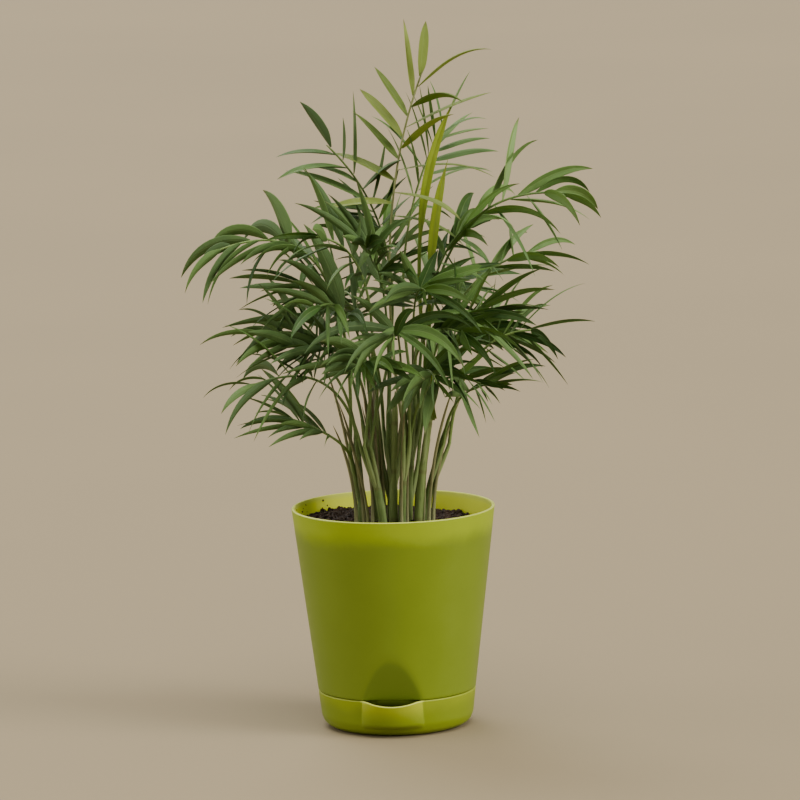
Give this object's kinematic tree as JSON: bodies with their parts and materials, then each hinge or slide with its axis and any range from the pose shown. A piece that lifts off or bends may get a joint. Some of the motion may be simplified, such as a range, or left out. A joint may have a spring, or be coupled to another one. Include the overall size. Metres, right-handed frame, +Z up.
{
  "type": "potted palm",
  "caption": "Young clump-forming feather palm in a small round self-watering pot with a separate reservoir base and a front filling spout.",
  "frame": {"origin": "middle of the reservoir base's flat underside, on the pot's axis, on the surface that the pot stands on", "axes": "+Z up along the pot's axis; -Y towards the front, where the filling spout is; +X to the right as seen from the front"},
  "size_m": [0.2142, 0.1608, 0.3622],
  "materials": {
    "pot_plastic": "satin",
    "base_plastic": "satin",
    "wick_fibre": "matte",
    "potting_soil": "matte",
    "stem_skin": "satin",
    "spear_leaf": "satin",
    "leaf_young": "satin",
    "leaf_bright": "satin",
    "leaf_mature": "satin"
  },
  "bodies": {
    "root": {"frond_arch_back_right": "leaf_bright", "frond_arch_left": "leaf_mature", "frond_arch_right": "leaf_bright", "frond_back_far_left": "leaf_mature", "frond_back_far_right": "leaf_mature", "frond_back_left": "leaf_mature", "frond_back_middle": "leaf_mature", "frond_back_right": "leaf_mature", "frond_crown": "leaf_young", "frond_crown_left": "leaf_mature", "frond_crown_right": "leaf_bright", "frond_front": "leaf_mature", "frond_front_left": "leaf_mature", "frond_front_low_middle": "leaf_mature", "frond_front_low_right": "leaf_mature", "frond_front_right": "leaf_mature", "frond_front_upper_left": "leaf_mature", "frond_front_upper_right": "leaf_mature", "frond_inner_left": "leaf_mature", "frond_low_left": "leaf_mature", "frond_low_right": "leaf_mature", "frond_lowest_left": "leaf_mature", "frond_middle_high": "leaf_mature", "frond_middle_left": "leaf_mature", "frond_middle_right": "leaf_mature", "frond_side_left": "leaf_mature", "frond_side_right": "leaf_mature", "frond_upper_left": "leaf_mature", "frond_upper_middle": "leaf_mature", "frond_upper_right": "leaf_mature", "pot": "pot_plastic", "reservoir_base": "base_plastic", "soil": "potting_soil", "spear_short": "spear_leaf", "spear_tall": "spear_leaf", "stem_back": "stem_skin", "stem_back_left": "stem_skin", "stem_back_right": "stem_skin", "stem_centre": "stem_skin", "stem_far_right": "stem_skin", "stem_front": "stem_skin", "stem_inner_right": "stem_skin", "stem_lean": "stem_skin", "stem_left": "stem_skin", "stem_right": "stem_skin", "wick": "wick_fibre"}
  },
  "joints": []
}
